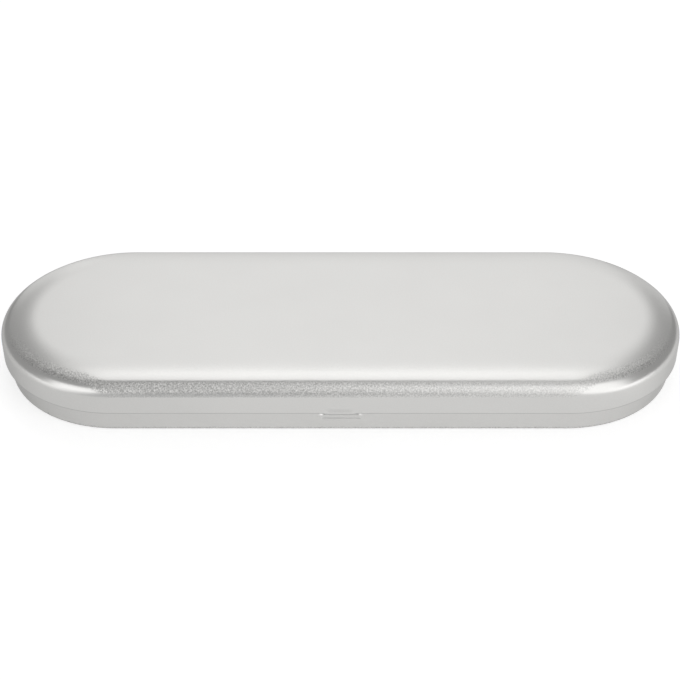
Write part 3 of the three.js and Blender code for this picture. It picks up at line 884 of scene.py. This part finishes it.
class CASE_OT_hinge_wires(Operator):
    """Builds the two hinge wires, with their ends upset to domes."""

    bl_idname = "tweezer_case.hinge_wires"
    bl_label = "Hinge wires"

    def execute(self, context):
        case = context.scene.tweezer_case
        hinge = case.hinge
        head_radius = (PIN_HIGH.z - PIN_LOW.z) / 2
        end = (PIN_HIGH.x - PIN_LOW.x) / 2
        turn = np.linspace(np.pi / 2, 0, EDGE_STEPS + 1)
        dome = np.stack([head_radius * np.cos(turn), end + hinge.pin_head * (np.sin(turn) - 1)], axis=1)
        half = np.concatenate([dome, [(hinge.pin_radius, end - hinge.pin_head), (hinge.pin_radius, 0)]])
        profile = np.concatenate([half, (half * (1, -1))[-2::-1]])[::-1]
        faces = grid_faces(ROUND_STEPS, profile.shape[0]).reshape(-1, 4).tolist()
        steel = material_of(drawn_steel, case.finish)
        for side, name in ((-1, "left"), (1, "right")):
            points = turned(profile, (side * hinge.middle, HINGE_Y, HINGE_Z), (1, 0, 0))
            add_piece(f"{name}_hinge_wire", points, faces, steel, "base", f"{name}_hinge_pin")
        return {"FINISHED"}


def rivet_profile(shell, hinge):
    """Rows (radius, along) of a rivet from its tail to its head, counted from the head's seat.

    The tail is a disc with a quarter-arc edge, the shank a straight stretch and the head a half ellipse.
    """
    head_radius = (RIVET_HIGH.x - RIVET_LOW.x) / 2
    grip = shell.sheet + hinge.leaf_gap + hinge.leaf_sheet + 2 * hinge.rivet_seat
    tail, tail_radius = hinge.rivet_tail, hinge.rivet_tail_radius
    turn = np.linspace(0, np.pi / 2, EDGE_STEPS + 1)
    head = np.stack([head_radius * np.cos(turn), hinge.rivet_head * np.sin(turn)], axis=1)
    edge = np.stack([np.cos(turn) - 1, -1 - np.sin(turn)], axis=1) * tail / 2 + (tail_radius, -grip)
    shank = [(tail_radius, -grip), (hinge.rivet_shank, -grip), (hinge.rivet_shank, 0)]
    return np.concatenate([[(0, -grip - tail)], edge[::-1], shank, head])


class CASE_OT_rivets(Operator):
    """Builds the eight rivets, with domed heads outside and upset tails inside."""

    bl_idname = "tweezer_case.rivets"
    bl_label = "Rivets"

    def execute(self, context):
        case = context.scene.tweezer_case
        shell, hinge = case.shell, case.hinge
        profile = rivet_profile(shell, hinge)
        slope = wall_slope(shell)
        tray_axis = np.array((0, 1, -slope)) / math.hypot(1, slope)
        tray_z = (TRAY_LEAF_LOW.z + HINGE_Z - barrel_reach(hinge)) / 2
        tray_wall = shell.half_width - shell.tray_inset - slope * (shell.seam_height - tray_z)
        tray_y = tray_wall + hinge.leaf_gap + hinge.leaf_sheet
        lid_z = (LID_LEAF_HIGH.z + HINGE_Z + barrel_reach(hinge)) / 2
        from_middle = hinge.leaf_length / 2 - hinge.rivet_margin
        places = [side * hinge.middle + end * from_middle for side in (-1, 1) for end in (-1, 1)]
        steel = material_of(drawn_steel, case.finish)
        faces = grid_faces(ROUND_STEPS, profile.shape[0]).reshape(-1, 4).tolist()
        for number, x in enumerate(places, 1):
            for body, foot, axis in (
                ("base", (x, tray_y, tray_z), tray_axis),
                ("lid", (x, shell.half_width, lid_z), np.array((0, 1, 0))),
            ):
                points = turned(profile, foot + axis * hinge.rivet_seat, axis)
                node = f"{body}_rivet_{number}"
                add_piece(f"{body}_domed_rivet_{number}", points, faces, steel, body, node)
        return {"FINISHED"}


def foam_cell(half, pitch, along, first, last):
    """Border of the foam round one slot, half a pitch away, as its lower, right, upper and left side.

    A side is square where another cell follows and a quarter circle where none does.
    """
    turn = np.linspace(-np.pi / 2, np.pi / 2, SLOT_END_STEPS + 1)
    reach = pitch / 2
    end = half + reach
    level = np.zeros(along.size)
    rounded = np.where(turn < 0, first, last)
    side_x = np.where(rounded, half + reach * np.cos(turn), end)
    side_y = np.where(rounded, reach * np.sin(turn), reach * turn / (np.pi / 2))
    lower = along if first else along * end / half
    upper = along if last else along * end / half
    sides = [(lower, level - reach), (side_x, side_y), (upper[::-1], level + reach), (-side_x, -side_y)]
    return [np.stack(side, axis=1) for side in sides]


def bridged(inner, outer, share, height):
    """Points by station and row between two rings. A row lies at a share of the way and at a height."""
    share = share[None, :, None]
    level = inner[:, None] * (1 - share) + outer[:, None] * share
    height = np.broadcast_to(height[None, :, None], level.shape[:2] + (1,))
    return np.concatenate([level, height], axis=-1)


def foam_patch(cut, away, border, lining):
    """Foam between a cut through it and a border inside it, from the border to the cut and back below.

    Away points from the cut into the foam. The top falls towards the cut as a parabola, its edge is a
    quarter arc, and the wall and the underside are straight.
    """
    low, high = FOAM_LOW.z, FOAM_HIGH.z - lining.foam_sag
    soft = lining.foam_round
    share = np.linspace(1, 0, EDGE_STEPS + 1)
    turn = share * np.pi / 2
    top = bridged(cut + soft * away, border, share, high + lining.foam_sag * (1 - (1 - share) ** 2))
    edge = bridged(cut, cut + soft * away, 1 - np.cos(turn), high - soft * (1 - np.sin(turn)))
    under = bridged(cut, border, np.array((0, 1)), np.array((low, low)))
    return np.concatenate([top, edge[:, 1:], under], axis=1)


def slotted_foam(shell, lining):
    """The foam insert: a patch round each slot, and one from their common border to the foam's own edge."""
    pitch = lining.slot_width + lining.rib_width
    half = FOAM_HIGH.x - lining.slot_margin - lining.slot_width / 2
    along = np.linspace(-half, half, 2 * SIDE_STEPS + 1)
    foot, out_x, out_y = stadium(along, SLOT_END_STEPS)
    outward = np.stack([out_x, out_y], axis=1)
    slot = np.stack([foot, 0 * foot], axis=1) + outward * lining.slot_width / 2
    cells, patches = [], []
    for number in range(lining.slots):
        middle = np.array((0, (number - (lining.slots - 1) / 2) * pitch))
        sides = foam_cell(half, pitch, along, number == 0, number == lining.slots - 1)
        cells.append([side + middle for side in sides])
        patches.append(foam_patch(slot + middle, outward, np.concatenate(cells[-1]), lining))
    rights, lefts = [cell[1] for cell in cells], [cell[3] for cell in cells[::-1]]
    border = np.concatenate([cells[0][0], *rights, cells[-1][2], *lefts])
    straight = shell.half_length - shell.half_width
    foot = np.stack([np.clip(border[:, 0], -straight, straight), 0 * border[:, 0]], axis=1)
    outward = (border - foot) / np.linalg.norm(border - foot, axis=1, keepdims=True)
    patches.append(foam_patch(foot + outward * FOAM_HIGH.y, -outward, border, lining)[:, ::-1])
    return joined(patches)


class CASE_OT_lining(Operator):
    """Builds the lining: the magnet sheet on the tray's floor, the slotted foam and the pad in the lid."""

    bl_idname = "tweezer_case.lining"
    bl_label = "Lining"

    def execute(self, context):
        case = context.scene.tweezer_case
        shell, lining = case.shell, case.lining
        stations = outline(shell, case.hinge)
        magnet = slab_section(shell.half_width, MAGNET_BOX, lining.magnet_round, 0)
        points, faces = joined([carried(stations, shell.half_width, magnet)])
        rubber = material_of(lined_rubber, case.finish)
        add_piece("magnet_mat", points, faces, rubber, "base", "magnet_sheet")
        foam = material_of(celled_foam, case.finish)
        pad = slab_section(shell.half_width, PAD_BOX, lining.pad_round, lining.foam_sag)
        points, faces = joined([carried(stations, shell.half_width, pad)])
        lid_foam = add_piece("lid_foam", points, faces, foam, "lid", "lid_pad")
        points, faces = slotted_foam(shell, lining)
        insert = add_piece("slotted_foam", points, faces, foam, "base", "foam_insert")
        return {"FINISHED"}


# Studio


def softbox(name, azimuth, elevation, half_wide, half_high, brightness, distance):
    """A rectangular lamp of even brightness, seen from the case under the given angles in degrees.

    Its power is its brightness times pi times its area.
    """
    turn, rise = math.radians(azimuth), math.radians(elevation)
    way = Vector((math.sin(turn) * math.cos(rise), math.cos(turn) * math.cos(rise), math.sin(rise)))
    lamp = bpy.data.lights.new(name, "AREA")
    lamp.shape = "RECTANGLE"
    lamp.size = 2 * distance * math.tan(math.radians(half_wide))
    lamp.size_y = 2 * distance * math.tan(math.radians(half_high))
    lamp.energy = brightness * math.pi * lamp.size * lamp.size_y
    stand = bpy.data.objects.new(name, lamp)
    stand.location = way * distance
    stand.rotation_mode = "QUATERNION"
    stand.rotation_quaternion = way.to_track_quat("Z", "Y")
    stand.visible_camera = False
    bpy.context.scene.collection.objects.link(stand)


def photo_camera(studio):
    """The camera, at the photograph's viewing angle."""
    camera = bpy.data.cameras.new("photo_camera")
    camera.lens = studio.lens
    camera.sensor_width = SENSOR_WIDTH
    camera.clip_start = NEAREST
    view = bpy.data.objects.new("photo_camera", camera)
    view.location = studio.eye
    view.rotation_mode = "QUATERNION"
    view.rotation_quaternion = (Vector(studio.target) - Vector(studio.eye)).to_track_quat("-Z", "Y")
    bpy.context.scene.collection.objects.link(view)
    bpy.context.scene.camera = view


def dim_room(level):
    """An even room of a given brightness."""
    world = bpy.data.worlds.new("dim_room")
    world.use_nodes = True
    room = next(node for node in world.node_tree.nodes if node.type == "BACKGROUND")
    room.inputs["Color"].default_value = (1, 1, 1, 1)
    room.inputs["Strength"].default_value = level
    bpy.context.scene.world = world


def floor_paper(studio, finish):
    """Pale paper that takes shadows, lifted to white for the camera and for reflections.

    In reflections the lift fades out in front of the case, is weaker at its left end and grows towards its
    front corners.
    """
    material = bpy.data.materials.new("floor_paper")
    material.use_nodes = True
    tree = material.node_tree
    tree.nodes.clear()
    rays = tree.nodes.new("ShaderNodeLightPath").outputs
    across, along = place_along(tree, "X"), place_along(tree, "Y")
    sideways = worked_out(tree, "ABSOLUTE", across)
    near = ranged(tree, along, 0, studio.mirror_level, (-studio.fade_end, -studio.fade_start))
    left = ranged(tree, across, studio.left_share, 1, (-studio.left_end, -studio.left_start))
    beside = ranged(tree, sideways, 0, studio.pool_level, (studio.pool_side, studio.pool_side_full))
    ahead = ranged(tree, along, 1, 0, (-studio.pool_front_full, -studio.pool_front))
    pools = worked_out(tree, "MULTIPLY", beside, ahead)
    shown = worked_out(tree, "MULTIPLY", worked_out(tree, "ADD", near, pools), left)
    mirrored = worked_out(tree, "MAXIMUM", rays["Is Glossy Ray"], rays["Is Transmission Ray"])
    in_mirrors = worked_out(tree, "MULTIPLY", mirrored, shown)
    in_camera = worked_out(tree, "MULTIPLY", rays["Is Camera Ray"], studio.white_level)
    paper = tree.nodes.new("ShaderNodeBsdfDiffuse")
    light = tree.nodes.new("ShaderNodeEmission")
    both = tree.nodes.new("ShaderNodeAddShader")
    output = tree.nodes.new("ShaderNodeOutputMaterial")
    feed(tree, (*finish.floor, 1), paper.inputs["Color"])
    feed(tree, worked_out(tree, "ADD", in_mirrors, in_camera), light.inputs["Strength"])
    feed(tree, paper.outputs["BSDF"], both.inputs[0])
    feed(tree, light.outputs["Emission"], both.inputs[1])
    feed(tree, both.outputs["Shader"], output.inputs["Surface"])
    return material


def studio_floor(studio, finish):
    """One square of paper under the case."""
    side = np.array((-studio.floor_half, studio.floor_half))
    x, y = np.meshgrid(side, side, indexing="ij")
    points = np.stack([x, y, np.full(x.shape, -studio.floor_drop)], axis=-1)
    mesh = bpy.data.meshes.new("studio_floor")
    mesh.from_pydata(points.reshape(-1, 3).tolist(), [], [(0, 2, 3, 1)])
    mesh.materials.append(floor_paper(studio, finish))
    floor = bpy.data.objects.new("studio_floor", mesh)
    bpy.context.scene.collection.objects.link(floor)


class CASE_OT_studio(Operator):
    """Builds the studio: camera, softboxes, a dim room and a white floor."""

    bl_idname = "tweezer_case.studio"
    bl_label = "Studio"

    def execute(self, context):
        case = context.scene.tweezer_case
        studio = case.studio
        photo_camera(studio)
        for *form, brightness in SOFTBOXES:
            softbox(*form, brightness * studio.lamp_level, studio.lamp_distance)
        dim_room(studio.room_level)
        studio_floor(studio, case.finish)
        context.scene.view_settings.view_transform = "Standard"
        return {"FINISHED"}


class CASE_PT_panel(Panel):
    """Lists the steps that build the case."""

    bl_idname = "CASE_PT_panel"
    bl_label = "Tweezer case"
    bl_space_type = "VIEW_3D"
    bl_region_type = "UI"
    bl_category = "Tweezer case"

    def draw(self, context):
        for step in STEPS:
            self.layout.operator(step.bl_idname)


STEPS = (
    CASE_OT_studio,
    CASE_OT_lid,
    CASE_OT_tray,
    CASE_OT_hinge_leaves,
    CASE_OT_hinge_wires,
    CASE_OT_rivets,
    CASE_OT_lining,
)
GROUPS = (ShellSizes, HingeSizes, LiningSizes, Finishes, StudioSizes, CaseSettings)
CLASSES = GROUPS + STEPS + (CASE_PT_panel,)


def register():
    """Adds the classes and the scene's settings."""
    for cls in CLASSES:
        bpy.utils.register_class(cls)
    bpy.types.Scene.tweezer_case = PointerProperty(type=CaseSettings)


def unregister():
    """Takes the scene's settings and the classes away again."""
    del bpy.types.Scene.tweezer_case
    for cls in reversed(CLASSES):
        bpy.utils.unregister_class(cls)


def main():
    """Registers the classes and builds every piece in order."""
    register()
    bpy.ops.tweezer_case.studio()
    bpy.ops.tweezer_case.lid()
    bpy.ops.tweezer_case.tray()
    bpy.ops.tweezer_case.hinge_leaves()
    bpy.ops.tweezer_case.hinge_wires()
    bpy.ops.tweezer_case.rivets()
    bpy.ops.tweezer_case.lining()


if __name__ == "__main__":
    main()
